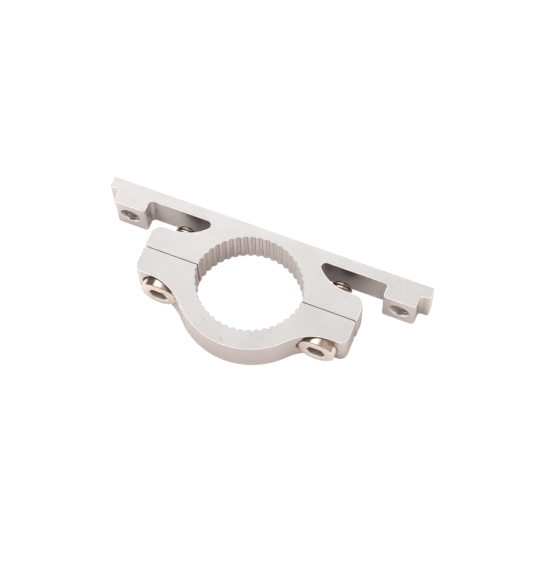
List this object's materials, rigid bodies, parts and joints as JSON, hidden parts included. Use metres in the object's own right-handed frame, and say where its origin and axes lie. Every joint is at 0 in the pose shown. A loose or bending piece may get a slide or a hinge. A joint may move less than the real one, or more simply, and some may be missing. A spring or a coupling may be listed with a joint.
{
  "type": "tube clamp bracket",
  "caption": "Aluminium bracket with a serrated two-piece clamp for a round tube and a cross bar with a threaded boss at each end for bolting on an accessory.",
  "frame": {"origin": "on the clamp's axis, where the parting plane between bracket and cap crosses it, in the bottom face", "axes": "+X along the cross bar, +Y from the cap to the cross bar's back, +Z along the clamped tube"},
  "size_m": [0.0758, 0.0289, 0.0095],
  "materials": {
    "bracket_aluminium": "satin, linished faces and extruded walls",
    "cap_aluminium": "satin, linished faces and extruded walls",
    "screw_steel": "nickel plated, bright"
  },
  "bodies": {
    "bracket_body": {"bracket": "bracket_aluminium"},
    "cap_body": {"clamp_cap": "cap_aluminium"},
    "left_screw_body": {"left_clamp_screw": "screw_steel"},
    "right_screw_body": {"right_clamp_screw": "screw_steel"}
  },
  "joints": [
    {"name": "cap_travel", "type": "slide", "parent": "bracket_body", "child": "cap_body", "axis": [0, -1, 0], "range_m": [0, 0.0064]},
    {"name": "left_screw_turn", "type": "hinge", "parent": "cap_body", "child": "left_screw_body", "pos_m": [-0.0185, 0, 0.00475], "axis": [0, -1, 0], "range_deg": [0, 2880]},
    {"name": "right_screw_turn", "type": "hinge", "parent": "cap_body", "child": "right_screw_body", "pos_m": [0.0185, 0, 0.00475], "axis": [0, -1, 0], "range_deg": [0, 2880]}
  ],
  "couplings": [
    {"joint": "left_screw_turn", "follows": "cap_travel", "rad_per_m": 7854},
    {"joint": "right_screw_turn", "follows": "cap_travel", "rad_per_m": 7854}
  ]
}
